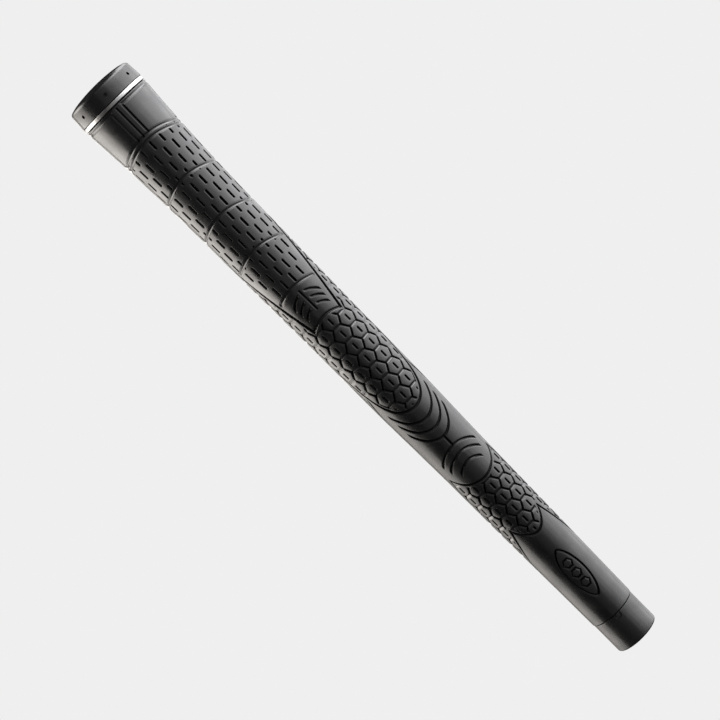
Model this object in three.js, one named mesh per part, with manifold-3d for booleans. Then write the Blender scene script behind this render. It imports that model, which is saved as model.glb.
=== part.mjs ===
// A slip-on golf club grip, in millimetres. +Z runs along the grip from its mouth, where the shaft goes in,
// to the butt. The origin is the centre of the mouth, and the oval medallion faces -Y.
import * as THREE from "three";
import { mergeVertices } from "three/addons/utils/BufferGeometryUtils.js";
import Module from "manifold-3d";

const wasm = await Module();
wasm.setup();

// The whole grip.
const LENGTH = 268;
const SEGMENTS = 48;
const SEAM = 0.3; // the gap left between neighbouring pieces
const EDGE = 0.4; // small chamfers

// The shaft bore tapers with the shaft, and the core's wall thickens towards the butt.
const MOUTH_BORE_R = 6.35;
const BUTT_BORE_R = 7.6;
const MOUTH_CORE_WALL = 1.0;
const BUTT_CORE_WALL = 2.0;

// The cap closes the butt. Its plug sits in the bore and its boss holds the accent ring.
const CAP_R = 13.5;
const CAP_TOP_R = 13.1; // the side leans in a little towards the dome
const CAP_HEIGHT = 7.9;
const CAP_PLUG_DEPTH = 4.3;
const CAP_BOSS_R = 10;
const CAP_DOME_RISE = 1.1;
const CAP_CORNER_R = 1.4;
const CAP_FLAT_R = 4;
const CAP_CORNER_STEPS = 4;
const CAP_DOME_STEPS = 4;
const VENT_R = 1.2;

// The pin holes run round the cap's side.
const PIN_HOLES = 7;
const PIN_HOLE_R = 0.65;
const PIN_HOLE_DEPTH = 2;
const PIN_HOLE_FROM_TOP = 5.1;
const PIN_HOLE_SIDES = 10;

// The bright ring between the cap and the sleeve.
const RING_HEIGHT = 1.5;
const RING_R = 13.5;

// The collar at the mouth is a little slimmer than the sleeve above it.
const COLLAR_HEIGHT = 12.9;
const COLLAR_R = 8.75;
const COLLAR_RIM_EDGE = 0.6;

// The sleeve's outside: a straight taper, a flare at the butt and a slight swell over the honeycomb panels.
const SLEEVE_MOUTH_R = 8.81;
const SLEEVE_TAPER = 0.01163;
const FLARE_START = 205;
const FLARE_RISE = 1.6;
const FLARE_POWER = 2.2;
const SWELL_LOW = 85;
const SWELL_HIGH = 160;
const SWELL_RISE = 0.25;
const SLEEVE_STATIONS = 26;

// Engraved lines on the sleeve.
const GROOVE_WIDTH = 0.7;
const GROOVE_DEPTH = 0.5;
const RING_GROOVES = [173.5, 191.6, 207.9, 225.4, 242.6, 244.3];
const ARCH_SAG = 3.6; // how far a ring groove falls from the front to the side
const ARCH_POWER = 2;
const ARCH_START = 150;
const PANEL_LINES = 3; // lines along the grip between the upper ring grooves and the sleeve's top
const PANEL_LINE_ANGLE = 10.5; // degrees between neighbouring lines
const PANEL_LINE_FROM_TOP = 1;
const ENGRAVING_STEPS = 8; // straight stretches along an engraving's floor
const MEDALLION_Z = 33.5;
const MEDALLION_LENGTH = 22;
const MEDALLION_WIDTH = 7.2;
const MEDALLION_DEPTH = 0.35;
const MEDALLION_STEPS = 32;

// Heights that follow from the sizes above.
const CAP_BASE = LENGTH - CAP_HEIGHT;
const RING_TOP = CAP_BASE - SEAM;
const RING_BASE = RING_TOP - RING_HEIGHT;
const SLEEVE_TOP = RING_BASE - SEAM;
const SLEEVE_BASE = COLLAR_HEIGHT + SEAM;

const RUBBER = { color: 0x202022, roughness: 0.62, metalness: 0 };
const MATERIALS = {
  end_cap: new THREE.MeshStandardMaterial({ color: 0x2a2a2c, roughness: 0.5, metalness: 0 }),
  accent_ring: new THREE.MeshStandardMaterial({ color: 0xd9d9d6, roughness: 0.3, metalness: 0 }),
  outer_sleeve: new THREE.MeshStandardMaterial(RUBBER),
  tip_collar: new THREE.MeshStandardMaterial({ ...RUBBER, color: 0x262628 }),
  core_sleeve: new THREE.MeshStandardMaterial({ ...RUBBER, color: 0x343436 }),
};

const evenSteps = (low, high, steps) =>
  Array.from({ length: steps + 1 }, (_, i) => low + ((high - low) * i) / steps);

const alongCore = (mouth, butt, z) => mouth + ((butt - mouth) * z) / SLEEVE_TOP;
const boreRadius = (z) => alongCore(MOUTH_BORE_R, BUTT_BORE_R, z);
const coreRadius = (z) => boreRadius(z) + alongCore(MOUTH_CORE_WALL, BUTT_CORE_WALL, z);
const sleeveInnerRadius = (z) => coreRadius(z) + SEAM;

function sleeveRadius(z) {
  const flare = Math.max(0, (z - FLARE_START) / (SLEEVE_TOP - FLARE_START));
  const along = Math.min(1, Math.max(0, (z - SWELL_LOW) / (SWELL_HIGH - SWELL_LOW)));
  const swell = Math.sin(Math.PI * along) ** 2;
  return SLEEVE_MOUTH_R + SLEEVE_TAPER * z + FLARE_RISE * flare ** FLARE_POWER + SWELL_RISE * swell;
}

/** A ring round Z from [radius, z] corners, listed anticlockwise with the radius to the right and z up. */
function turned(corners) {
  const profile = [...corners, corners[0]].map(([r, z]) => new THREE.Vector2(r, z));
  return new THREE.LatheGeometry(profile, SEGMENTS).rotateX(Math.PI / 2);
}

function toSolid(geometry) {
  const bare = geometry.clone();
  bare.deleteAttribute("normal");
  bare.deleteAttribute("uv");
  const merged = mergeVertices(bare, 1e-4);
  const vertProperties = Float32Array.from(merged.attributes.position.array);
  const triVerts = Uint32Array.from(merged.index.array);
  return new wasm.Manifold(new wasm.Mesh({ numProp: 3, vertProperties, triVerts }));
}

function toGeometry(solid) {
  const { vertProperties, triVerts } = solid.getMesh();
  const geometry = new THREE.BufferGeometry();
  geometry.setAttribute("position", new THREE.BufferAttribute(vertProperties, 3));
  geometry.setIndex(new THREE.BufferAttribute(triVerts, 1));
  geometry.computeVertexNormals();
  return geometry;
}

/** The cap's outside from its side to the vent: a round corner, a shallow dome and a flat top. */
function capTopCorners() {
  const cornerTop = LENGTH - CAP_DOME_RISE;
  const shoulder = CAP_TOP_R - CAP_CORNER_R;
  const corner = evenSteps(0, Math.PI / 2, CAP_CORNER_STEPS).map((turn) => [
    shoulder + CAP_CORNER_R * Math.cos(turn),
    cornerTop - CAP_CORNER_R * (1 - Math.sin(turn)),
  ]);
  const dome = evenSteps(0, Math.PI / 2, CAP_DOME_STEPS).slice(1).map((turn) => [
    shoulder + (CAP_FLAT_R - shoulder) * (turn / (Math.PI / 2)),
    cornerTop + CAP_DOME_RISE * Math.sin(turn),
  ]);
  return [...corner, ...dome, [VENT_R, LENGTH]];
}

function endCap() {
  const plugR = boreRadius(SLEEVE_TOP) - SEAM;
  const plugBase = SLEEVE_TOP - CAP_PLUG_DEPTH;
  const body = toSolid(
    turned([
      [VENT_R, plugBase],
      [plugR - EDGE, plugBase],
      [plugR, plugBase + EDGE],
      [plugR, RING_BASE],
      [CAP_BOSS_R, RING_BASE],
      [CAP_BOSS_R, CAP_BASE],
      [CAP_R - EDGE, CAP_BASE],
      [CAP_R, CAP_BASE + EDGE],
      ...capTopCorners(),
    ]),
  );
  let cap = body;
  for (let i = 0; i < PIN_HOLES; i += 1) {
    const hole = new THREE.CylinderGeometry(PIN_HOLE_R, PIN_HOLE_R, 2 * PIN_HOLE_DEPTH, PIN_HOLE_SIDES)
      .translate(0, -CAP_R, LENGTH - PIN_HOLE_FROM_TOP)
      .rotateZ((2 * Math.PI * i) / PIN_HOLES);
    cap = cap.subtract(toSolid(hole));
  }
  return toGeometry(cap);
}

function accentRing() {
  const inner = CAP_BOSS_R + SEAM;
  return turned([
    [inner, RING_BASE],
    [RING_R - EDGE / 2, RING_BASE],
    [RING_R, RING_BASE + EDGE / 2],
    [RING_R, RING_TOP - EDGE / 2],
    [RING_R - EDGE / 2, RING_TOP],
    [inner, RING_TOP],
  ]);
}

function coreSleeve() {
  return turned([
    [boreRadius(0) + EDGE, 0],
    [coreRadius(0), 0],
    [coreRadius(SLEEVE_TOP), SLEEVE_TOP],
    [boreRadius(SLEEVE_TOP), SLEEVE_TOP],
    [boreRadius(EDGE), EDGE],
  ]);
}

function tipCollar() {
  return turned([
    [sleeveInnerRadius(0), 0],
    [COLLAR_R - COLLAR_RIM_EDGE, 0],
    [COLLAR_R, COLLAR_RIM_EDGE],
    [COLLAR_R, COLLAR_HEIGHT - EDGE],
    [COLLAR_R - EDGE, COLLAR_HEIGHT],
    [sleeveInnerRadius(COLLAR_HEIGHT), COLLAR_HEIGHT],
  ]);
}

/** The sleeve's outside as [radius, z] corners going up, with a V groove at each ring groove. */
function sleeveSideCorners() {
  const clear = (z) => RING_GROOVES.every((groove) => Math.abs(z - groove) > GROOVE_WIDTH);
  const plain = evenSteps(SLEEVE_BASE, SLEEVE_TOP, SLEEVE_STATIONS)
    .filter(clear)
    .map((z) => [sleeveRadius(z), z]);
  const grooves = RING_GROOVES.flatMap((z) => [
    [sleeveRadius(z), z - GROOVE_WIDTH / 2],
    [sleeveRadius(z) - GROOVE_DEPTH, z],
    [sleeveRadius(z), z + GROOVE_WIDTH / 2],
  ]);
  return [...plain, ...grooves].sort((a, b) => a[1] - b[1]);
}

/** Bends the ring grooves so that they arch towards the butt on the front and on the back. */
function arched(geometry) {
  const position = geometry.attributes.position;
  const full = RING_GROOVES[0];
  for (let i = 0; i < position.count; i += 1) {
    const [x, y, z] = [position.getX(i), position.getY(i), position.getZ(i)];
    const r = Math.hypot(x, y);
    const outside = r > sleeveInnerRadius(z) + SEAM;
    const fadeIn = Math.min(1, Math.max(0, (z - ARCH_START) / (full - ARCH_START)));
    const fadeOut = Math.min(1, (SLEEVE_TOP - z) / (SLEEVE_TOP - RING_GROOVES.at(-1)));
    if (outside) {
      position.setZ(i, z - ARCH_SAG * (Math.abs(x) / r) ** ARCH_POWER * fadeIn * fadeOut);
    }
  }
  return geometry;
}

/** Cuts the outline of a prism into the sleeve, to an even depth below its curved surface. */
function engraved(sleeve, prism, depth, low, high) {
  const side = evenSteps(low, high, ENGRAVING_STEPS).map((z) => [sleeveRadius(z) - depth, z]);
  const floor = toSolid(turned([[SEAM, low], ...side, [SEAM, high]]));
  return sleeve.subtract(toSolid(prism).subtract(floor));
}

function panelLine(turn) {
  const low = RING_GROOVES.at(-1);
  const high = SLEEVE_TOP - PANEL_LINE_FROM_TOP;
  const reach = 2 * CAP_R - sleeveRadius(high) + GROOVE_DEPTH;
  return new THREE.BoxGeometry(GROOVE_WIDTH, reach, high - low)
    .translate(0, -CAP_R, (low + high) / 2)
    .rotateZ(turn);
}

function medallionPrism() {
  const outline = new THREE.Shape().absellipse(0, 0, MEDALLION_WIDTH / 2, MEDALLION_LENGTH / 2, 0, 2 * Math.PI);
  return new THREE.ExtrudeGeometry(outline, {
    depth: SLEEVE_MOUTH_R,
    bevelEnabled: false,
    curveSegments: MEDALLION_STEPS,
  })
    .rotateX(Math.PI / 2)
    .translate(0, -SLEEVE_MOUTH_R / 2, MEDALLION_Z);
}

function outerSleeve() {
  const shell = turned([
    ...sleeveSideCorners(),
    [sleeveInnerRadius(SLEEVE_TOP), SLEEVE_TOP],
    [sleeveInnerRadius(SLEEVE_BASE), SLEEVE_BASE],
  ]);
  let sleeve = toSolid(arched(shell));
  const middle = (PANEL_LINES - 1) / 2;
  const spacing = THREE.MathUtils.degToRad(PANEL_LINE_ANGLE);
  for (const side of [0, Math.PI]) {
    for (let i = 0; i < PANEL_LINES; i += 1) {
      const line = panelLine(side + (i - middle) * spacing);
      sleeve = engraved(sleeve, line, GROOVE_DEPTH, RING_GROOVES[0], LENGTH);
    }
  }
  sleeve = engraved(sleeve, medallionPrism(), MEDALLION_DEPTH, 0, RING_GROOVES[0]);
  return toGeometry(sleeve);
}

const grip = new THREE.Group();
const pieces = {
  end_cap: endCap(),
  accent_ring: accentRing(),
  outer_sleeve: outerSleeve(),
  tip_collar: tipCollar(),
  core_sleeve: coreSleeve(),
};
for (const [name, geometry] of Object.entries(pieces)) {
  const mesh = new THREE.Mesh(geometry, MATERIALS[name]);
  mesh.name = name;
  grip.add(mesh);
}

export default grip;
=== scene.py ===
"""The looks of a slip-on golf grip: rubber sleeve, tip collar, core, end cap and bright accent ring."""
import math

import bmesh
import bpy
import numpy as np
from mathutils import Matrix, Vector

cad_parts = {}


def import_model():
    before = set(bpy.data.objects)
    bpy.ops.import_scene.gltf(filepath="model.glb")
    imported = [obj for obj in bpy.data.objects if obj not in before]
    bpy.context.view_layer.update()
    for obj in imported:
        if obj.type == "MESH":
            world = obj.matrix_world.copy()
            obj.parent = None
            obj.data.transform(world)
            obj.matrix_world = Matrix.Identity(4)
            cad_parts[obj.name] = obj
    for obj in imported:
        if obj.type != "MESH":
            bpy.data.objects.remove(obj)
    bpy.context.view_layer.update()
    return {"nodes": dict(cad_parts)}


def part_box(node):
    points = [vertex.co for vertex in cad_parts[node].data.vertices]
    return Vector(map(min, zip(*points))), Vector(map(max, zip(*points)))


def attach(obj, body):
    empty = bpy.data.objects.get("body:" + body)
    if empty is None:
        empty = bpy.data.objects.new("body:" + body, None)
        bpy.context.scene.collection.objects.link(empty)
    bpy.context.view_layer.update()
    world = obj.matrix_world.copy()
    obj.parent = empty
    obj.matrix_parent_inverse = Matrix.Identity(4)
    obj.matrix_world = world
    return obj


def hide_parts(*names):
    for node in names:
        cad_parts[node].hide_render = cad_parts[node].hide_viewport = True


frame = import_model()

# Lengths are in millimetres and angles in degrees, except where a comment says otherwise. Meshes are written
# in metres.
MM = 0.001
CELL = 0.15  # the sleeve's mesh size
LATHE_SEGMENTS = 240
FILLET_STEPS = 6
FINE_ROUND = 0.1  # the fillet of edges that hardly show
END_REACH = 0.1  # how near its end a CAD node's points count as its end
SIN_60 = math.sqrt(3) / 2

# The sleeve's outside: a straight taper, a flare at the butt and a slight swell over the honeycomb.
SLEEVE_MOUTH_R = 8.81
SLEEVE_TAPER = 0.01163
FLARE_START = 205
FLARE_RISE = 1.6
FLARE_POWER = 2.2
SWELL_LOW = 85
SWELL_HIGH = 160
SWELL_RISE = 0.25
SLEEVE_MIDDLE_R = 10.4
RIM_ROUND = 0.35
SEAM_CLOSE = 0.1  # how far the sleeve and the collar each reach into the seam between them

# Every groove has a shallow lip pressed into the rubber beside it, fading out on the side where turn grows.
LIP_REACH = 0.4
LIP_DEPTH = 0.11
GROOVE_FLOOR = 0.25  # the flat share of a groove's width, between its two sloping walls
# The insides of the grooves are painted dark as shade: painted shade where the recess is shaded.
PAINTED_SHADE_SPILL = 1.2  # how many mesh cells the painted shade inside a groove takes to fade out
CURVE_PAINTED_SHADE = (0.2, 1.1)  # how dark the painted shade in a curve's groove is where it runs round the grip, and along it

# The moulding is twisted a little along its length: (height, angle) from the mouth to the butt.
TWIST = ((38, -1.2), (54, 1.7), (150, 1.7), (190, -3))

# Ring grooves arch towards the butt on the front and on the back. Heights are those on the centre lines.
ARCH_SAG = 3.6
FULL_RINGS = (244.3, 242.6, 225.4, 207.9)
PANEL_RINGS = (191.6, 173.5)
RING_WIDTH = 1.15
RING_DEPTH = 0.36
RING_FLOOR = 0
# How dark the painted shade inside a ring groove is.
RING_PAINTED_SHADE = 0.1
RING_TO_PANEL_EDGE = 1.7

# The two smooth panels under the accent ring, and the groove between them.
TOP_PANEL_Z = 257
TOP_PANEL_ANGLE = 10.5  # from the groove between the panels to their edges
TOP_PANEL_WIDTH = 0.6
TOP_PANEL_DEPTH = 0.36

# Dashes cut along the grip, in columns one pitch apart, with every other column shifted half a row.
DASH_FIRST = 242.1
DASH_PITCH = 4.94
DASH_COLUMNS = 14
DASH_LENGTH = 3.73
DASH_WIDTH = 0.66
DASH_DEPTH = 0.7
DASH_FLOOR = 0.5
DASH_ROWS = 18  # round the grip
DASH_TO_RING = 1.05
DASH_TO_PANEL_EDGE = 8

# The front panel narrows to a tip, with strokes on either side of a short groove.
TIP_Z = 159.2
TIP_SAG = 5.5
TIP_CORNER_Z = 157.3
TIP_CORNER_ANGLE = 35.6
PANEL_SLOPE = 0.815
PANEL_EDGE_WIDTH = 0.9
PANEL_EDGE_DEPTH = 0.5
# How dark the painted shade inside the groove round the panel's tip is.
PANEL_TIP_PAINTED_SHADE = 0.2
TIP_STROKES = ((170.2, 32), (167.2, 29.5), (164.2, 27))  # (height of the curve's middle, end angle)
TIP_STROKE_CURVE = 0.0031
TIP_STROKE_START = 9
TIP_GROOVE = (162.7, 171.0)
TIP_GROOVE_WIDTH = 0.6

# Honeycomb: rows of hexagonal tiles every 30 degrees, each tile with a short dash along the grip.
HEX_ROW = 30
HEX_WIDTH = 0.56
HEX_DEPTH = 0.42
HEX_SQUARE_WIDTH = 0.95  # of the sides that run round the grip
HEX_SQUARE_DEPTH = 0.32
HEX_SQUARE_FLOOR = 0
# How dark the painted shade inside those sides is: none.
HEX_SQUARE_PAINTED_SHADE = 0
HEX_TO_EDGE = 1.4
HEX_CROWN = 0.06
HEX_CROWN_REACH = 1.6
HEX_DASH_LENGTH = 2.6
HEX_DASH_WIDTH = 0.55
HEX_DASH_DEPTH = 0.45
UPPER_HEX = (150.2, 5.85)  # the height of a tile on the centre line, and the pitch along the grip
LOWER_HEX = (76.3, 5.42)

# The upper honeycomb ends in a tongue of height z + curve * angle^2 + rise * (angle / full)^power.
TONGUE_Z = 115
TONGUE_CURVE = 0.0025
TONGUE_RISE = 12.5
TONGUE_FULL = 79
TONGUE_POWER = 5.4
TONGUE_LINE = 0.78
SIDE_ROUND = 6  # how much soft_side rounds off the meeting of front and back

# The lower honeycomb, between arcs of height middle + curve * angle^2 from the front or the back.
LOWER_TOP_FRONT = (80.5, 0.00145)
LOWER_TOP_BACK = (53.7, 0.0026)
LOWER_END_FRONT = (53.6, 0.0033)
LOWER_END_BACK = (26.5, 0.0018)
OUTLINE_WIDTH = 0.6
OUTLINE_DEPTH = 0.42
# How dark the painted shade inside the lower honeycomb's outline is.
OUTLINE_PAINTED_SHADE = 0.65

# Arcs on the smooth middle, on the front and on the back: (middle height, curve, end angle).
UPPER_ARCS = ((109.5, 0.0026, 56), (105.1, 0.0027, 54), (100.8, 0.0028, 52.5))
LOWER_ARCS = ((96.2, -0.00153, 49.5), (92.8, -0.0018, 43.8), (88.8, -0.0026, 29))
LONG_BACK_ARC = (93.4, 0.00263, 112)
BACK_DROP = 11.2  # how much further down the lower arcs lie on the back
FRONT_LINK = (96.6, 100.6)  # the ends of the short groove between the upper and the lower arcs
BACK_LINK = (85.4, 93.0)
ARC_WIDTH = 0.75
ARC_DEPTH = 0.4

# The medallion near the mouth holds a row of plain hexagons in outline.
MEDALLION_Z = 33.4
MEDALLION_LENGTH = 21.6
MEDALLION_WIDTH = 7.3
MEDALLION_POWER = 1.5
MEDALLION_LEAST_SLOPE = 0.12
MEDALLION_LINE = 0.62
MEDALLION_DEPTH = 0.42
# How dark the painted shade inside the medallion's lines is.
MEDALLION_PAINTED_SHADE = 0.8
MEDALLION_RECESS = 0.14
MEDALLION_TILES = 3
MEDALLION_TILE_PITCH = 4.6
MEDALLION_TILE_R = 1.55
MEDALLION_TILE_LINE = 0.45
MEDALLION_TILE_DEPTH = 0.25

# The accent ring, the core's mouth and the end cap. A name that ends in ROUND is a fillet.
RING_ROUND = 0.45
CORE_MOUTH_R = 7.35
CORE_EDGE = 0.4
CORE_TOP_ROUND = 0.2
MOUTH_ROUND = 0.15
CAP_VENT_R = 1.2
CAP_VENT_ROUND = 0.15
CAP_VENT_DROP = 0.02
CAP_PLUG_R = 7.3
CAP_PLUG_ROUND = 0.4
CAP_BOSS_R = 10
CAP_SEAM = 0.08
CAP_SEAM_ROUND = 0.3
CAP_TOP_R = 13.1
CAP_TOP_ROUND = 1.2
CAP_SHOULDER = 1.6
CAP_DOME_R = 11.7
CAP_DOME_RISE = 1.1
CAP_DOME_POWER = 2.2
CAP_DOME_STEPS = (0.87, 0.73, 0.58, 0.44, 0.29, 0.17)

# The pin holes round the cap's side.
PIN_COUNT = 7
PIN_Z = 262.9
PIN_R = 0.65
PIN_DEPTH = 2
PIN_SEGMENTS = 24
PIN_CLEAR = 1  # how far a pin cutter stands out of the cap
CUTTER_AXIS_R = 0.01  # a cutter is a closed ring, so it keeps a tiny hole along its axis

# The collar's rims, and the small tab where it meets the sleeve.
COLLAR_RIM_ROUND = 0.6
COLLAR_SEAM_ROUND = 0.3
TAB_TURN = -2
TAB_R = 1.05
TAB_WIDTH = 0.6
TAB_DEPTH = 0.6
TAB_DROP = 0.75
SHARP_ANGLE = 40  # edges sharper than this stay crisp on drilled pieces

# The camera stands in front, a little above the middle, and rolls so that the butt points to the upper left.
CAMERA_LENS = 105
CAMERA_AZIMUTH = -1.5
CAMERA_DISTANCE = 717.8
CAMERA_HEIGHT = 231.5
CAMERA_AIM_Z = 138.5
CAMERA_AIM_SIDE = -1.57
CAMERA_ROLL = 44.7

# The studio, in metres: strips of light in a circle round the grip, each (azimuth, radiance), faint in front.
# They stand in tiers, one above the other, each (foot, head, left factor, right factor, edge factor).
# The edge strip stands almost behind the grip, and only in the two lower tiers.
STRIP_DISTANCE = 0.6
STRIP_SPREAD = 20
EDGE_STRIP = (-170, 1.2)
LEFT_STRIPS = ((-150, 0.4), (-130, 2.3), (-110, 3.5), (-90, 3.0), (-70, 0.16), (-10, 0.16))
RIGHT_STRIPS = ((10, 0.21), (30, 1.07), (50, 2.3), (70, 3.6), (90, 3.7), (110, 3.9), (130, 2.1), (150, 1.5))
TIERS = (
    (-0.28, 0.05, 0.98, 0.98, 0.98), (0.05, 0.32, 2.1, 1.4, 2.1),
    (0.32, 0.45, 1.0, 0.9, 0), (0.45, 0.9, 2.3, 2.6, 0),
)
LEFT_TINT = (1.0, 0.955, 0.90)
RIGHT_TINT = (0.985, 0.985, 1.0)
STRIP_GROUPS = ((LEFT_STRIPS, LEFT_TINT), (RIGHT_STRIPS, RIGHT_TINT), ((EDGE_STRIP,), LEFT_TINT))
BACKDROP = (0.863, 0.863, 0.863)
DARK_ROOM = (0.002, 0.002, 0.002)
FLOOR_RADIUS = 0.5
FLOOR_SEGMENTS = 96
FLOOR_SOLID = 0.3  # the share of its radius where the floor is solid, before it fades out
FLOOR_Z = -0.25
FLOOR_TONE = (0.45, 0.45, 0.45)
FLOOR_ROUGHNESS = 0.9

# Materials. Each noise is (features to the metre, detail). Heights are in metres.
CLOUD = (140, 3)
CLOUD_TONES = (0.7, 1.35)
CLOUD_RANGE = (0.35, 0.65)  # the part of the noise that the gloss follows
CLOUD_GLOSS = 0.08
WAVE = (170, 1)
WAVE_HEIGHT = 0.05 * MM
SPECK = (2600, 2)
GRAIN_HEIGHT = 0.014 * MM
GRAIN_LEAST = 0.35  # the grain's strength on smooth rubber, against 1 on textured rubber
WEAR_TONE = 2
WEAR_GLOSS = 0.1
WHITE = (1, 1, 1)
NO_LIGHT = (0, 0, 0)
RUBBER_BLACK = (0.009, 0.009, 0.0095)
RUBBER_ROUGHNESS = 0.28
COLLAR_BLACK = (0.011, 0.011, 0.0115)
COLLAR_ROUGHNESS = 0.29
CORE_BLACK = (0.02, 0.02, 0.021)
CORE_ROUGHNESS = 0.6
# The dark colour painted into the grooves' insides as shade.
GROOVE_PAINTED_SHADE = (0.006, 0.006, 0.006)
STREAK = (1, 2)
STREAK_STRETCH = (300, 300, 9000)
STREAK_BUMP = 0.1
STREAK_HEIGHT = 0.02 * MM
SATIN_DARK = (0.33, 0.33, 0.326)
SATIN_LIGHT = (0.4, 0.4, 0.395)
SATIN_ROUGHNESS = (0.33, 0.38)


def smooth(x):
    """0 below 0, 1 above 1, with a smooth step between."""
    x = np.clip(x, 0, 1)
    return x * x * (3 - 2 * x)


def sleeve_radius(z):
    """The sleeve's outer radius at a height, without its grooves."""
    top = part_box("outer_sleeve")[1].z / MM
    flare = np.clip((z - FLARE_START) / (top - FLARE_START), 0, 1)
    swell = np.sin(np.pi * np.clip((z - SWELL_LOW) / (SWELL_HIGH - SWELL_LOW), 0, 1)) ** 2
    return SLEEVE_MOUTH_R + SLEEVE_TAPER * z + FLARE_RISE * flare**FLARE_POWER + SWELL_RISE * swell


class Surface:
    """The sleeve's outside unrolled: a row for each height in mm and a column for each angle in degrees."""

    def __init__(self, low, high):
        rows = round((high - low) / CELL)
        columns = round(2 * math.pi * SLEEVE_MIDDLE_R / CELL)
        self.z = np.linspace(low, high, rows + 1)[:, None]
        self.column_turn = np.linspace(-180, 180, columns, endpoint=False)[None, :]
        self.step = 360 / columns
        twist = np.interp(self.z, *zip(*TWIST))
        self.turn = (self.column_turn - twist + 180) % 360 - 180
        self.front = np.abs(self.turn)
        self.back = 180 - self.front
        self.side = np.minimum(self.front, self.back)
        self.radius = sleeve_radius(self.z)
        self.degree = self.radius * math.radians(1)  # mm round the sleeve for each degree
        self.depth = np.zeros((rows + 1, columns))
        self.crown = np.zeros((rows + 1, columns))
        # How much painted shade darkens each point, inside the grooves.
        self.painted_shade = np.zeros((rows + 1, columns))
        self.lip = np.zeros((rows + 1, columns))

    def slope(self, values):
        """How much values change for each mm round the sleeve."""
        change = (np.roll(values, -1, axis=1) - np.roll(values, 1, axis=1)) / (2 * self.step)
        return change / self.degree

    def stretch(self, height):
        """The length of the curve z = height(turn) for each mm round the sleeve."""
        return np.hypot(1, self.slope(height))

    def above(self, height):
        """How far each point lies above the curve z = height(turn), measured square to the curve."""
        return (self.z - height) / self.stretch(height)

    def painted_curve_shade(self, height):
        """How dark the painted shade in a groove along the curve z = height(turn) is. It is darkest where it
        is steep.
        """
        low, high = CURVE_PAINTED_SHADE
        lean = np.sqrt(1 - 1 / self.stretch(height) ** 2)
        return np.minimum(1, low + (high - low) * lean)

    def from_arc(self, angle, height, start, end):
        """Distance from the stretch of a curve between two angles."""
        stretch = self.stretch(height)
        past = np.maximum(0, np.maximum(angle - end, start - angle)) * self.degree * stretch
        return np.hypot((self.z - height) / stretch, past)

    def from_line(self, turn, low, high):
        """Distance from a straight line along the grip. turn is an angle or an array of angles."""
        across = (self.turn - turn + 180) % 360 - 180
        past = np.maximum(0, np.maximum(low - self.z, self.z - high))
        return np.hypot(across * self.degree, past)

    def cut(self, distance, width, depth, floor=GROOVE_FLOOR, painted_shade=1.0):
        """Cuts a groove along distance = 0. The last argument says how much painted shade darkens its inside.
        """
        half = width / 2
        wall = smooth((half - distance) / (half * (1 - floor)))
        lip = smooth(1 - self.slope(distance)) * smooth((half + LIP_REACH - distance) / LIP_REACH)
        self.depth = np.maximum(self.depth, (depth - LIP_DEPTH) * wall + LIP_DEPTH * lip)
        self.lip = np.maximum(self.lip, lip)
        # Painted shade inside the groove, spilling a little past its walls.
        self.painted_shade = np.maximum(self.painted_shade, painted_shade * smooth((half - distance) / CELL + PAINTED_SHADE_SPILL))


def arched(s, height):
    """The curve of a ring groove."""
    return height - ARCH_SAG * np.sin(np.radians(s.turn)) ** 2


def soft_side(s):
    """The angle from the nearer centre line, rounded off where the front and the back meet."""
    return 90 - np.hypot(90 - s.side, SIDE_ROUND)


def inside_panel_sides(s):
    """Distance inside the slanted sides of the long panel. It is negative outside."""
    return s.above(TIP_CORNER_Z + PANEL_SLOPE * (soft_side(s) - TIP_CORNER_ANGLE))


def inside_panel_tip(s):
    """Distance above the curve that ends the long panel."""
    return s.above(TIP_Z - TIP_SAG * np.sin(np.radians(s.side)) ** 2)


def tongue_height(s):
    """The curve that ends the upper honeycomb."""
    angle = soft_side(s)
    rise = TONGUE_RISE * (np.abs(angle) / TONGUE_FULL) ** TONGUE_POWER
    return TONGUE_Z + TONGUE_CURVE * angle**2 + rise


def parabola(angle, shape):
    """The height of an arc whose shape is (middle height, curve)."""
    middle, curve = shape
    return middle + curve * angle**2


def above_either(s, front, back):
    """Distance above the lower of two parabolas, one from the front and one from the back."""
    return np.maximum(s.above(parabola(s.front, front)), s.above(parabola(s.back, back)))


def lower_hex_inside(s):
    """Distance inside the lower honeycomb. It is negative outside."""
    top = above_either(s, LOWER_TOP_FRONT, LOWER_TOP_BACK)
    end = above_either(s, LOWER_END_FRONT, LOWER_END_BACK)
    return np.minimum(-top, end)


def cut_rings(s, panel):
    """Ring grooves all round, and two that stop short of the panel's edges."""
    for height in FULL_RINGS:
        s.cut(np.abs(s.above(arched(s, height))), RING_WIDTH, RING_DEPTH, RING_FLOOR, RING_PAINTED_SHADE)
    for height in PANEL_RINGS:
        line = np.abs(s.above(arched(s, height)))
        short = RING_TO_PANEL_EDGE - panel
        s.cut(np.hypot(line, np.maximum(0, short)), RING_WIDTH, RING_DEPTH, RING_FLOOR, RING_PAINTED_SHADE)


def cut_top_panels(s):
    """Two smooth panels, left and right, each with its outline, and a groove between them."""
    low = arched(s, FULL_RINGS[0])
    away = TOP_PANEL_WIDTH + LIP_REACH  # far enough from a groove to be left alone
    inside = np.minimum(TOP_PANEL_Z - s.z, (s.side - TOP_PANEL_ANGLE) * s.degree)
    outline = np.where(s.z > low, np.abs(inside), away)
    top = TOP_PANEL_Z - s.z < inside + CELL  # the edge under the accent ring, as wide as a ring groove
    s.cut(np.where(top, outline, away), RING_WIDTH, RING_DEPTH, RING_FLOOR, RING_PAINTED_SHADE)
    s.cut(np.where(top, away, outline), TOP_PANEL_WIDTH, TOP_PANEL_DEPTH)
    for turn in (0, 180):
        s.cut(s.from_line(turn, FULL_RINGS[0], TOP_PANEL_Z), TOP_PANEL_WIDTH, TOP_PANEL_DEPTH)


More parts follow.
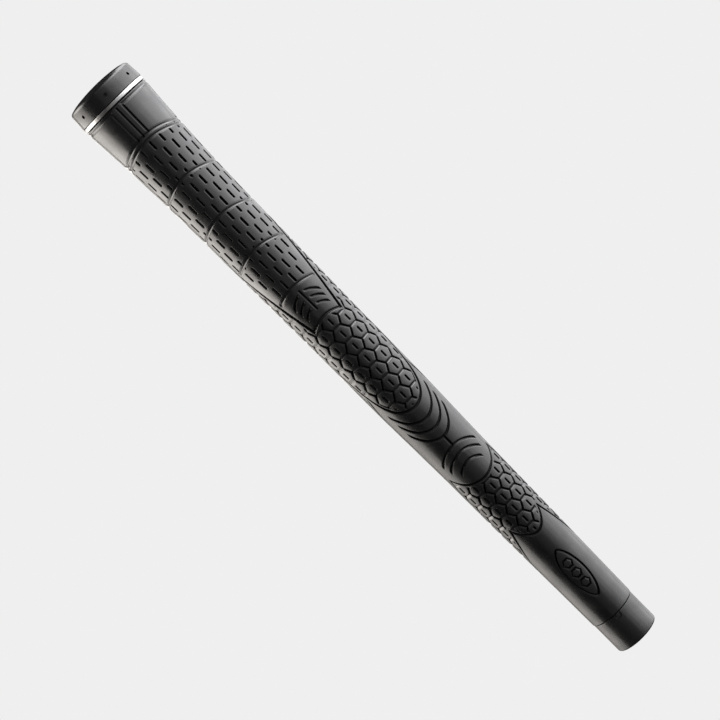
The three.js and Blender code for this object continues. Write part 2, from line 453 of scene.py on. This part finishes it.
def cut_dashes(s):
    """Columns of dashes. They keep clear of the ring grooves and of the long panel's edges."""
    ring_gap = np.full(s.depth.shape, DASH_PITCH)
    for height in FULL_RINGS + PANEL_RINGS:
        ring_gap = np.minimum(ring_gap, np.abs(s.above(arched(s, height))))
    clear = np.maximum(0, DASH_TO_RING - ring_gap)
    row_step = 360 / DASH_ROWS
    for column in range(DASH_COLUMNS):
        high = DASH_FIRST - column * DASH_PITCH
        low = high - DASH_LENGTH
        shift = row_step / 2 * (column % 2)
        row = np.round((s.turn - shift) / row_step) * row_step + shift
        row_side = np.minimum(np.abs(row), 180 - np.abs(row))
        panel_edge = TIP_CORNER_ANGLE + (low - TIP_CORNER_Z) / PANEL_SLOPE
        distance = np.hypot(s.from_line(row, low + DASH_WIDTH / 2, high - DASH_WIDTH / 2), clear)
        kept = (row_side < panel_edge - DASH_TO_PANEL_EDGE) | (panel_edge > 90)
        s.cut(np.where(kept, distance, DASH_WIDTH + LIP_REACH), DASH_WIDTH, DASH_DEPTH, DASH_FLOOR)


def cut_tip(s):
    """The curved strokes on the panel's tip, and the short groove between them."""
    for middle, end in TIP_STROKES:
        height = middle - TIP_STROKE_CURVE * s.side**2
        line = s.from_arc(s.side, height, TIP_STROKE_START, end)
        s.cut(line, ARC_WIDTH, ARC_DEPTH, painted_shade=s.painted_curve_shade(height))
    for turn in (0, 180):
        s.cut(s.from_line(turn, *TIP_GROOVE), TIP_GROOVE_WIDTH, ARC_DEPTH)


def to_slanted_side(across, along):
    """How far a point lies from a hexagon's middle, measured square to the hexagon's nearest slanted side."""
    return np.abs(along) / 2 + np.abs(across) * SIN_60


def cut_honeycomb(s, inside, first, pitch):
    """Crowned hexagonal tiles with two sides square to the grip, and a dash in each tile."""
    row = s.turn / HEX_ROW
    along = (s.z - first) / pitch
    nearest = np.full(s.depth.shape, np.inf)
    edge, square, slant, dash = (np.zeros(s.depth.shape) for _ in range(4))
    for odd in (0, 1):
        dx = (row - (2 * np.round((row - odd) / 2) + odd)) * pitch * SIN_60
        dz = (along - odd / 2 - np.round(along - odd / 2)) * pitch
        distance = np.hypot(dx, dz)
        closer = distance < nearest
        nearest = np.where(closer, distance, nearest)
        slanted = to_slanted_side(dx, dz)
        edge = np.where(closer, pitch / 2 - np.maximum(np.abs(dz), slanted), edge)
        square = np.where(closer, pitch / 2 - np.abs(dz), square)
        slant = np.where(closer, pitch / 2 - slanted, slant)
        half = (HEX_DASH_LENGTH - HEX_DASH_WIDTH) / 2
        dash = np.where(closer, np.hypot(dx, np.maximum(0, np.abs(dz) - half)), dash)
    clear = np.maximum(0, HEX_TO_EDGE - inside)
    s.cut(np.hypot(square, clear), HEX_SQUARE_WIDTH, HEX_SQUARE_DEPTH, HEX_SQUARE_FLOOR, HEX_SQUARE_PAINTED_SHADE)
    s.cut(np.hypot(slant, clear), HEX_WIDTH, HEX_DEPTH)
    s.cut(np.hypot(dash, clear), HEX_DASH_WIDTH, HEX_DASH_DEPTH)
    s.crown += HEX_CROWN * smooth(edge / HEX_CROWN_REACH) * smooth(inside / HEX_CROWN_REACH)


def cut_arcs(s):
    """The arcs on the smooth middle, and the short groove that links them on the front and on the back."""
    dropped = [(middle - BACK_DROP, curve, end) for middle, curve, end in LOWER_ARCS]
    for angle, arcs in ((s.front, LOWER_ARCS), (s.back, (LONG_BACK_ARC, *dropped))):
        for middle, curve, end in (*UPPER_ARCS, *arcs):
            height = parabola(angle, (middle, curve))
            s.cut(s.from_arc(angle, height, 0, end), ARC_WIDTH, ARC_DEPTH, painted_shade=s.painted_curve_shade(height))
    s.cut(s.from_line(0, *FRONT_LINK), ARC_WIDTH, ARC_DEPTH)
    s.cut(s.from_line(180, *BACK_LINK), ARC_WIDTH, ARC_DEPTH)


def medallion_inside(s):
    """Roughly the distance inside the medallion's lens shape, 1 - |z|^2 - |across|^power = 0."""
    across = np.abs(s.turn) * s.degree / (MEDALLION_WIDTH / 2)
    along = (s.z - MEDALLION_Z) / (MEDALLION_LENGTH / 2)
    fall = 1 - along**2 - across**MEDALLION_POWER
    slope_z = 2 * along / (MEDALLION_LENGTH / 2)
    slope_across = MEDALLION_POWER * across ** (MEDALLION_POWER - 1) / (MEDALLION_WIDTH / 2)
    return fall / np.maximum(np.hypot(slope_z, slope_across), MEDALLION_LEAST_SLOPE)


def cut_medallion(s):
    """A lens-shaped line round a sunken field with a row of hexagons. Returns where the field is."""
    inside = medallion_inside(s)
    s.cut(np.abs(inside), MEDALLION_LINE, MEDALLION_DEPTH, painted_shade=MEDALLION_PAINTED_SHADE)
    across = s.turn * s.degree
    for i in range(MEDALLION_TILES):
        dz = s.z - MEDALLION_Z - (i - (MEDALLION_TILES - 1) / 2) * MEDALLION_TILE_PITCH
        reach = np.maximum(np.abs(dz), to_slanted_side(across, dz))
        line = np.abs(reach - MEDALLION_TILE_R)
        s.cut(line, MEDALLION_TILE_LINE, MEDALLION_TILE_DEPTH, painted_shade=MEDALLION_PAINTED_SHADE)
    field = smooth(inside / MEDALLION_LINE)
    s.crown -= MEDALLION_RECESS * field
    return field


def round_rims(s, low, high):
    """Rounds the sleeve's two ends."""
    for past in (low + RIM_ROUND - s.z, s.z - (high - RIM_ROUND)):
        past = np.clip(past, 0, RIM_ROUND)
        s.crown -= RIM_ROUND - np.sqrt(RIM_ROUND**2 - past**2)


def new_mesh(name, points, quads):
    """A smooth mesh object from points in mm, laid out in metres."""
    mesh = bpy.data.meshes.new(name)
    mesh.vertices.add(len(points))
    mesh.vertices.foreach_set("co", (points * MM).astype(np.float32).ravel())
    mesh.loops.add(quads.size)
    mesh.loops.foreach_set("vertex_index", quads.astype(np.int32).ravel())
    mesh.polygons.add(len(quads))
    mesh.polygons.foreach_set("loop_start", np.arange(0, quads.size, 4, dtype=np.int32))
    mesh.update(calc_edges=True)
    mesh.validate()
    mesh.shade_smooth()
    piece = bpy.data.objects.new(name, mesh)
    bpy.context.scene.collection.objects.link(piece)
    return piece


def grid_quads(rows, columns):
    """Quads of a closed tube whose points run round it ring by ring. The last ring joins the first."""
    r, c = np.meshgrid(np.arange(rows), np.arange(columns), indexing="ij")
    up, right = (r + 1) % rows, (c + 1) % columns
    corners = (r * columns + c, r * columns + right, up * columns + right, up * columns + c)
    return np.stack(corners, axis=-1).reshape(-1, 4)


def ring_points(radius, z, turn):
    """Points round Z at the given radii and heights. turn 0 faces -Y and grows towards +X."""
    angle = np.radians(turn)
    radius, z, angle = np.broadcast_arrays(radius, z, angle)
    return np.stack((radius * np.sin(angle), -radius * np.cos(angle), z), axis=-1).reshape(-1, 3)


def cut_outlines(s, sides, tip, lower):
    """The edges of the long panel and of both honeycombs."""
    panel = np.minimum(sides, tip)
    # Painted shade: full in the panel's side grooves, faint in the groove round its tip.
    painted_shade = np.where(sides < tip, 1, PANEL_TIP_PAINTED_SHADE)
    s.cut(np.abs(panel), PANEL_EDGE_WIDTH, PANEL_EDGE_DEPTH, painted_shade=painted_shade)
    tongue = tongue_height(s)
    line = np.hypot(s.above(tongue), np.maximum(0, panel))
    s.cut(line, TONGUE_LINE, OUTLINE_DEPTH, painted_shade=s.painted_curve_shade(tongue))
    s.cut(np.abs(lower), OUTLINE_WIDTH, OUTLINE_DEPTH, painted_shade=OUTLINE_PAINTED_SHADE)


def engrave(s, low, high):
    """Cuts everything into the sleeve. Returns how much grain the moulding has at each point."""
    sides, tip = inside_panel_sides(s), inside_panel_tip(s)
    panel = np.minimum(sides, tip)
    upper = np.minimum(-panel, s.above(tongue_height(s)))
    lower = lower_hex_inside(s)
    cut_outlines(s, sides, tip, lower)
    cut_rings(s, panel)
    cut_top_panels(s)
    cut_dashes(s)
    cut_tip(s)
    cut_honeycomb(s, upper, *UPPER_HEX)
    cut_honeycomb(s, lower, *LOWER_HEX)
    cut_arcs(s)
    field = cut_medallion(s)
    round_rims(s, low, high)
    above_tip = smooth(s.above(arched(s, PANEL_RINGS[1])))
    below_top = smooth(-s.above(arched(s, FULL_RINGS[1])))
    dashed = smooth(panel) * above_tip * below_top
    return np.maximum.reduce([dashed, smooth(upper), smooth(lower), field])


def outer_sleeve():
    """The engraved outside, closed by a plain bore between its two ends."""
    low, high = (corner.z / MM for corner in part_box("outer_sleeve"))
    low -= SEAM_CLOSE
    s = Surface(low, high)
    grain = engrave(s, low, high)
    outside = s.radius + s.crown - s.depth
    inner = [inner_radius("outer_sleeve", z) for z in (high, low + SEAM_CLOSE)]
    rings = [ring_points(outside, s.z, s.column_turn)]
    rings += [ring_points(r, z, s.column_turn) for r, z in zip(inner, (high, low))]
    rows = s.depth.shape[0] + 2
    columns = s.depth.shape[1]
    piece = new_mesh("sleeve_rubber_shell", np.concatenate(rings), grid_quads(rows, columns))
    # The groove attribute carries the painted shade of the grooves' insides.
    add_attribute(piece, "groove", s.painted_shade, 2 * columns)
    add_attribute(piece, "grain", grain, 2 * columns)
    add_attribute(piece, "wear", s.lip * (1 - s.painted_shade), 2 * columns)
    return piece


def add_attribute(piece, name, values, extra):
    """Stores one number for each point, with zeros for the extra points at the end."""
    values = np.concatenate([values.ravel(), np.zeros(extra)]).astype(np.float32)
    piece.data.attributes.new(name, "FLOAT", "POINT").data.foreach_set("value", values)


def inner_radius(node, z):
    """The smallest radius of a CAD node's points near height z in mm."""
    points = np.array([v.co[:] for v in frame["nodes"][node].data.vertices]) / MM
    near = points[np.abs(points[:, 2] - z) < END_REACH]
    return np.hypot(near[:, 0], near[:, 1]).min()


def rounded(corners):
    """A closed profile from (radius, z, fillet) corners, each fillet a curve of a few steps."""
    profile = []
    for i, (r, z, fillet) in enumerate(corners):
        here = np.array((r, z))
        before = np.array(corners[i - 1][:2]) - here
        after = np.array(corners[(i + 1) % len(corners)][:2]) - here
        if fillet == 0:
            profile.append(here)
            continue
        a, b = (here + fillet * way / np.linalg.norm(way) for way in (before, after))
        for t in np.linspace(0, 1, FILLET_STEPS + 1):
            profile.append((1 - t) ** 2 * a + 2 * t * (1 - t) * here + t**2 * b)
    return np.array(profile)


def lathe(name, corners, segments=LATHE_SEGMENTS):
    """A closed ring turned from a profile listed anticlockwise with the radius to the right and z up."""
    profile = rounded(corners)
    turn = np.linspace(-180, 180, segments, endpoint=False)[None, :]
    points = ring_points(profile[:, :1], profile[:, 1:], turn)
    return new_mesh(name, points, grid_quads(len(profile), segments))


def drill(piece, cutters):
    """Cuts the cutters out of the piece and removes them."""
    for cutter in cutters:
        change = piece.modifiers.new("drill", "BOOLEAN")
        change.object = cutter
        change.solver = "EXACT"
    shaped = bpy.data.meshes.new_from_object(piece.evaluated_get(bpy.context.evaluated_depsgraph_get()))
    piece.modifiers.clear()
    piece.data = shaped
    shaped.set_sharp_from_angle(angle=math.radians(SHARP_ANGLE))
    for cutter in cutters:
        bpy.data.objects.remove(cutter)
    return piece


def face_outward(cutter, turn, radius, z):
    """Stands a cutter's Z axis on a radius of the grip at an angle, a radius and a height in mm."""
    angle = math.radians(turn)
    out = Vector((math.sin(angle), -math.cos(angle), 0))
    cutter.rotation_euler = out.to_track_quat("Z", "Y").to_euler()
    cutter.location = out * radius * MM + Vector((0, 0, z * MM))
    return cutter


def pin_cutter(turn, outer, inner):
    """A pin that points at the axis and reaches from one radius to another."""
    corners = ((CUTTER_AXIS_R, inner), (PIN_R, inner), (PIN_R, outer), (CUTTER_AXIS_R, outer))
    pin = lathe("cutter", [(r, reach, 0) for r, reach in corners], PIN_SEGMENTS)
    return face_outward(pin, turn, 0, PIN_Z)


def tab_cutter(outside, z):
    """A small ring that cuts a U into the collar where it meets the sleeve."""
    near, far = TAB_R - TAB_WIDTH / 2, TAB_R + TAB_WIDTH / 2
    ring = lathe("cutter", [
        (near, -TAB_DEPTH, FINE_ROUND), (far, -TAB_DEPTH, FINE_ROUND),
        (far, TAB_DEPTH, 0), (near, TAB_DEPTH, 0),
    ], PIN_SEGMENTS)
    return face_outward(ring, TAB_TURN, outside, z - TAB_DROP)


def tip_collar():
    """The band at the mouth, with its tab."""
    low, high = (corner.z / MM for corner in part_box("tip_collar"))
    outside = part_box("tip_collar")[1].x / MM
    inner_low, inner_high = (inner_radius("tip_collar", z) for z in (low, high))
    high += SEAM_CLOSE
    collar = lathe("tip_collar_band", [
        (inner_low, low, MOUTH_ROUND), (outside, low, COLLAR_RIM_ROUND),
        (outside, high, COLLAR_SEAM_ROUND), (inner_high, high, FINE_ROUND),
    ])
    return drill(collar, [tab_cutter(outside, high)])


def core_sleeve():
    """The tapered tube that the shaft goes into."""
    low, high = (corner.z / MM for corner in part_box("core_sleeve"))
    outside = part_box("core_sleeve")[1].x / MM
    return lathe("core_liner", [
        (inner_radius("core_sleeve", CORE_EDGE), low, CORE_EDGE), (CORE_MOUTH_R, low, MOUTH_ROUND),
        (outside, high, CORE_TOP_ROUND), (inner_radius("core_sleeve", high), high, CORE_TOP_ROUND),
    ])


def accent_ring():
    """The thin bright band round the cap's boss."""
    low, high = (corner.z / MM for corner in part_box("accent_ring"))
    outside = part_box("accent_ring")[1].x / MM
    inner = inner_radius("accent_ring", low)
    return lathe("accent_ring_band", [
        (inner, low, FINE_ROUND), (outside, low, RING_ROUND),
        (outside, high, RING_ROUND), (inner, high, FINE_ROUND),
    ])


def end_cap():
    """A cap with a low dome, a vent through the middle, a stepped plug below and pin holes round its side."""
    base, top = (corner.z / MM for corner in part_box("end_cap"))
    ring_low, ring_high = (corner.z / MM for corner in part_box("accent_ring"))
    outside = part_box("end_cap")[1].x / MM
    side_low = ring_high + CAP_SEAM
    dome = [(share * CAP_DOME_R, top - CAP_DOME_RISE * share**CAP_DOME_POWER, 0) for share in CAP_DOME_STEPS]
    cap = lathe("end_cap_shell", [
        (CAP_VENT_R, base, FINE_ROUND), (CAP_PLUG_R, base, CAP_PLUG_ROUND),
        (CAP_PLUG_R, ring_low, FINE_ROUND), (CAP_BOSS_R, ring_low, FINE_ROUND),
        (CAP_BOSS_R, side_low, FINE_ROUND),
        (outside, side_low, CAP_SEAM_ROUND), (CAP_TOP_R, top - CAP_SHOULDER, CAP_TOP_ROUND),
        *dome, (CAP_VENT_R, top - CAP_VENT_DROP, CAP_VENT_ROUND),
    ])
    outer, inner = outside + PIN_CLEAR, (outside + CAP_TOP_R) / 2 - PIN_DEPTH
    return drill(cap, [pin_cutter(360 * i / PIN_COUNT, outer, inner) for i in range(PIN_COUNT)])


class Nodes:
    """A material's or a world's node tree, with short calls to add nodes and link them."""

    def __init__(self, owner):
        owner.use_nodes = True
        self.tree = owner.node_tree
        self.tree.nodes.clear()

    def add(self, kind, settings=None, **inputs):
        """Adds a node. An input is named with _ for a space, or i0, i1... for its place in the list."""
        node = self.tree.nodes.new(kind)
        for key, value in (settings or {}).items():
            setattr(node, key, value)
        for key, value in inputs.items():
            by_place = key[0] == "i" and key[1:].isdigit()
            self.feed(node.inputs[int(key[1:]) if by_place else key.replace("_", " ")], value)
        return node

    def feed(self, socket, value):
        """Links a socket, or sets it. Three numbers given to a colour are opaque."""
        if isinstance(value, bpy.types.NodeSocket):
            self.tree.links.new(value, socket)
        elif socket.type == "RGBA" and len(value) == 3:
            socket.default_value = (*value, 1)
        else:
            socket.default_value = value

    def noise(self, place, scale, detail):
        """A cloudy value around 0.5."""
        return self.add("ShaderNodeTexNoise", Vector=place, Scale=scale, Detail=detail).outputs["Fac"]

    def mix(self, factor, a, b):
        """Blends two colours."""
        return self.add("ShaderNodeMix", {"data_type": "RGBA"}, i0=factor, i6=a, i7=b).outputs[2]

    def calculate(self, operation, a, b):
        """Combines two numbers."""
        return self.add("ShaderNodeMath", {"operation": operation}, i0=a, i1=b).outputs[0]

    def attribute(self, name):
        """Reads a number stored on the mesh by add_attribute, or 0 where there is none."""
        return self.add("ShaderNodeAttribute", {"attribute_name": name}).outputs["Fac"]

    def bump(self, **inputs):
        """Tilts the normal by a height."""
        return self.add("ShaderNodeBump", **inputs).outputs[0]

    def span(self, value, low, high, start=0, end=1):
        """Stretches the part of a value between start and end over low to high."""
        return self.add(
            "ShaderNodeMapRange", Value=value, From_Min=start, From_Max=end, To_Min=low, To_Max=high,
        ).outputs[0]

    def surface(self, **inputs):
        """Ends the tree in a shader with the given inputs."""
        shader = self.add("ShaderNodeBsdfPrincipled", **inputs).outputs[0]
        self.add("ShaderNodeOutputMaterial", Surface=shader)


def rubber(name, colour, roughness):
    """Moulded dark rubber: cloudy gloss, a slight waviness and a fine grain.

    The lips beside the grooves are worn, so they are paler and glossier. The insides of grooves are painted
    shade: they go dark and lose their gloss, even at a glancing angle, as a dark metal with no specular tint
    does.
    """
    material = bpy.data.materials.new(name)
    n = Nodes(material)
    place = n.add("ShaderNodeTexCoord").outputs["Object"]
    groove, grain, wear = (n.attribute(kind) for kind in ("groove", "grain", "wear"))
    cloud, wave, speck = (n.noise(place, *kind) for kind in (CLOUD, WAVE, SPECK))

    dark, light = ([factor * c for c in colour] for factor in CLOUD_TONES)
    rubbed = n.calculate("MULTIPLY", wear, cloud)
    worn = n.mix(rubbed, n.mix(cloud, dark, light), [WEAR_TONE * c for c in colour])
    dull = n.span(cloud, roughness + CLOUD_GLOSS, roughness - CLOUD_GLOSS, *CLOUD_RANGE)
    gloss = n.calculate("SUBTRACT", dull, n.calculate("MULTIPLY", wear, WEAR_GLOSS))
    wavy = n.bump(Strength=1, Distance=WAVE_HEIGHT, Height=wave)
    strength = n.span(grain, GRAIN_LEAST, 1)
    n.surface(
        # Painted shade: the groove attribute makes the grooves' insides dark, metallic and without specular
        # tint.
        Base_Color=n.mix(groove, worn, GROOVE_PAINTED_SHADE),
        Metallic=groove,
        Roughness=gloss,
        Specular_Tint=n.mix(groove, WHITE, NO_LIGHT),
        Normal=n.bump(Strength=strength, Distance=GRAIN_HEIGHT, Height=speck, Normal=wavy),
    )
    return material


def bright_ring_material():
    """Satin silver with faint brushed streaks round the ring."""
    material = bpy.data.materials.new("accent_ring_satin")
    n = Nodes(material)
    place = n.add("ShaderNodeTexCoord").outputs["Object"]
    mapped = n.add("ShaderNodeMapping", Vector=place, Scale=STREAK_STRETCH).outputs[0]
    streak = n.noise(mapped, *STREAK)
    tone = n.mix(streak, SATIN_DARK, SATIN_LIGHT)
    bump = n.bump(Strength=STREAK_BUMP, Distance=STREAK_HEIGHT, Height=streak)
    n.surface(Base_Color=tone, Metallic=1.0, Roughness=n.span(streak, *SATIN_ROUGHNESS), Normal=bump)
    return material


def place_piece(piece, node, material):
    """Gives a piece its material and puts it in its CAD node's place."""
    piece.data.materials.append(material)
    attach(piece, "root")
    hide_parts(node)


def strip_light(azimuth, foot, head, radiance, tint):
    """A strip of light facing the grip. Azimuth 0 stands in front (-Y), and grows towards +X."""
    lamp = bpy.data.lights.new("strip", "AREA")
    lamp.shape = "RECTANGLE"
    lamp.size = 2 * STRIP_DISTANCE * math.tan(math.radians(STRIP_SPREAD / 2))
    lamp.size_y = head - foot
    lamp.energy = math.pi * radiance * lamp.size * lamp.size_y
    lamp.color = tint
    light = bpy.data.objects.new("strip", lamp)
    angle = math.radians(azimuth)
    outward = Vector((math.sin(angle), -math.cos(angle), 0))
    light.location = STRIP_DISTANCE * outward + Vector((0, 0, (foot + head) / 2))
    light.rotation_euler = (-outward).to_track_quat("-Z", "Y").to_euler()
    bpy.context.scene.collection.objects.link(light)


def lights():
    """Every strip of every tier. A strip whose factor is 0 is left out."""
    for foot, head, *factors in TIERS:
        for factor, (strips, tint) in zip(factors, STRIP_GROUPS):
            for azimuth, radiance in strips if factor else ():
                strip_light(azimuth, foot, head, factor * radiance, tint)


def world():
    """The camera sees an even pale backdrop. Everything else sees a nearly dark room."""
    setting = bpy.data.worlds.new("studio")
    bpy.context.scene.world = setting
    n = Nodes(setting)
    seen = n.add("ShaderNodeBackground", Color=BACKDROP, Strength=1).outputs[0]
    room = n.add("ShaderNodeBackground", Color=DARK_ROOM, Strength=1).outputs[0]
    ray = n.add("ShaderNodeLightPath").outputs["Is Camera Ray"]
    either = n.add("ShaderNodeMixShader", i0=ray, i1=room, i2=seen).outputs[0]
    n.add("ShaderNodeOutputWorld", Surface=either)


def floor():
    """A pale round table under the grip, out of the camera's frame. It throws no light on the rubber.

    It fades into the backdrop towards its edge.
    """
    bm = bmesh.new()
    bmesh.ops.create_circle(bm, cap_ends=True, radius=FLOOR_RADIUS, segments=FLOOR_SEGMENTS)
    mesh = bpy.data.meshes.new("floor")
    bm.to_mesh(mesh)
    bm.free()
    table = bpy.data.objects.new("floor", mesh)
    table.location.z = FLOOR_Z
    table.visible_diffuse = False
    table.visible_glossy = False
    bpy.context.scene.collection.objects.link(table)
    material = bpy.data.materials.new("floor_pale")
    n = Nodes(material)
    place = n.add("ShaderNodeTexCoord").outputs["Object"]
    out = n.add("ShaderNodeVectorMath", {"operation": "LENGTH"}, i0=place).outputs["Value"]
    alpha = n.span(out, 1, 0, FLOOR_SOLID * FLOOR_RADIUS, FLOOR_RADIUS)
    n.surface(Base_Color=FLOOR_TONE, Roughness=FLOOR_ROUGHNESS, Alpha=alpha)
    mesh.materials.append(material)


def camera():
    """Looks at the grip from the front and rolls to the photo's angle."""
    data = bpy.data.cameras.new("camera")
    data.lens = CAMERA_LENS
    view = bpy.data.objects.new("camera", data)
    angle = math.radians(CAMERA_AZIMUTH)
    back = Vector((math.sin(angle), -math.cos(angle), 0))
    right = Vector((math.cos(angle), math.sin(angle), 0))
    view.location = (CAMERA_DISTANCE * back + Vector((0, 0, CAMERA_HEIGHT))) * MM
    aim = (CAMERA_AIM_SIDE * right + Vector((0, 0, CAMERA_AIM_Z))) * MM
    look = (aim - view.location).to_track_quat("-Z", "Y").to_matrix().to_4x4()
    roll = Matrix.Rotation(math.radians(-CAMERA_ROLL), 4, "Z")
    view.matrix_world = Matrix.Translation(view.location) @ look @ roll
    bpy.context.scene.collection.objects.link(view)
    bpy.context.scene.camera = view


camera()
world()
lights()
floor()
bpy.context.scene.view_settings.view_transform = "Standard"

sleeve_rubber = rubber("sleeve_rubber", RUBBER_BLACK, RUBBER_ROUGHNESS)
collar_rubber = rubber("collar_rubber", COLLAR_BLACK, COLLAR_ROUGHNESS)
core_rubber = rubber("core_rubber", CORE_BLACK, CORE_ROUGHNESS)
cap_rubber = rubber("cap_rubber", RUBBER_BLACK, RUBBER_ROUGHNESS)

place_piece(outer_sleeve(), "outer_sleeve", sleeve_rubber)
place_piece(tip_collar(), "tip_collar", collar_rubber)
place_piece(core_sleeve(), "core_sleeve", core_rubber)
place_piece(end_cap(), "end_cap", cap_rubber)
place_piece(accent_ring(), "accent_ring", bright_ring_material())
